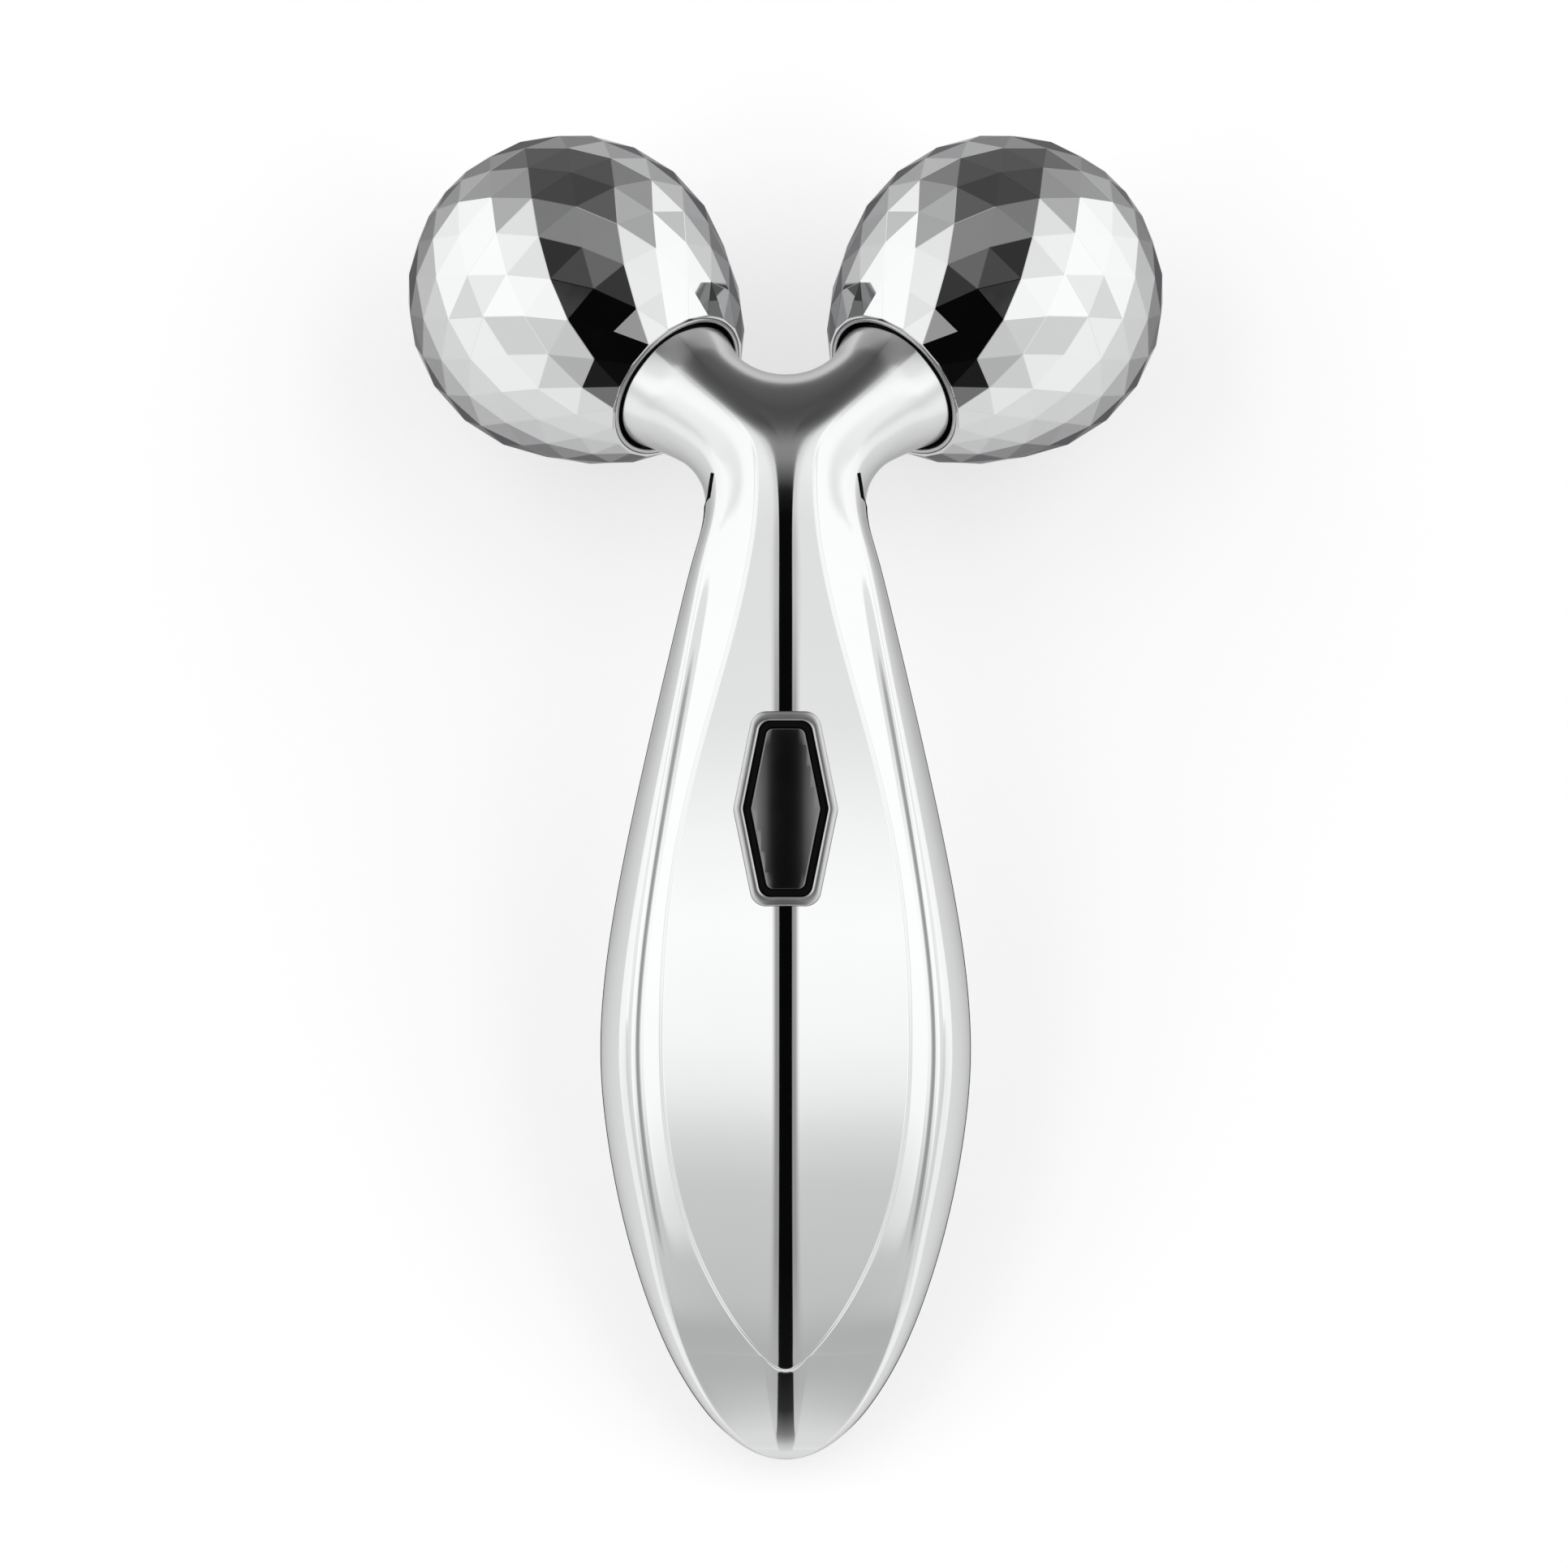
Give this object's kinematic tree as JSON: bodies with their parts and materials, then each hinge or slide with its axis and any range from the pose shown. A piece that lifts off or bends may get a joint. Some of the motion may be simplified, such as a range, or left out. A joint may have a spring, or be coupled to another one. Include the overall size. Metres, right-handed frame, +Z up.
{
  "type": "facial roller",
  "caption": "Y-shaped facial toning roller with a leaf-shaped mirror-plated handle, a dark lozenge solar window and faceted balls that spin freely on its arms.",
  "frame": {"origin": "on the table plane, under the middle of the overall bounding box, as the roller lies with its window up on both balls and the tail", "axes": "+Y from the tail towards the balls, +Z up through the window side, +X to the right as the window faces the viewer with the balls on top"},
  "size_m": [0.0934, 0.1652, 0.0448],
  "materials": {
    "plated_shell": "mirror chrome plating on ABS",
    "plated_trim": "mirror chrome plating on ABS",
    "plated_ball": "mirror chrome plating on ABS, flat facets",
    "frame_plastic": "moulded, satin",
    "core_plastic": "moulded, satin",
    "black_plastic": "moulded, satin",
    "black_rubber": "smooth",
    "smoked_lens": "smoked acrylic, polished",
    "cell": "amorphous silicon cell on glass",
    "board": "fibreglass board with green mask",
    "chips": "moulded",
    "lead_sleeve": "flexible insulation",
    "axle_steel": "ground",
    "screw_steel": "zinc plated",
    "bush_brass": "turned"
  },
  "bodies": {
    "handle": {"front_shell": "plated_shell", "rear_shell": "plated_shell", "inner_frame": "frame_plastic", "frame_screws": "screw_steel", "window_bezel": "plated_trim", "window_gasket": "black_rubber", "window_lens": "smoked_lens", "solar_cell": "cell", "circuit_board": "board", "board_parts": "chips", "board_screws": "screw_steel", "lead_left": "lead_sleeve", "lead_right": "lead_sleeve", "arm_cap_left": "black_plastic", "arm_cap_right": "black_plastic", "axle_left": "axle_steel", "axle_right": "axle_steel", "seal_ring_left": "black_rubber", "seal_ring_right": "black_rubber", "retaining_clip_left": "axle_steel", "retaining_clip_right": "axle_steel"},
    "left_roller": {"inner_bush_left": "bush_brass", "outer_bush_left": "bush_brass", "ball_core_left": "core_plastic", "ball_shell_left": "plated_ball", "ball_rim_left": "plated_trim"},
    "right_roller": {"inner_bush_right": "bush_brass", "outer_bush_right": "bush_brass", "ball_core_right": "core_plastic", "ball_shell_right": "plated_ball", "ball_rim_right": "plated_trim"}
  },
  "joints": [
    {"name": "left_roller_spin", "type": "hinge", "parent": "handle", "child": "left_roller", "pos_m": [-0.02671, 0.06251, 0.02002], "axis": [-0.6225, 0.6585, -0.423], "continuous": true},
    {"name": "right_roller_spin", "type": "hinge", "parent": "handle", "child": "right_roller", "pos_m": [0.02671, 0.06251, 0.02002], "axis": [0.6225, 0.6585, -0.423], "continuous": true}
  ]
}
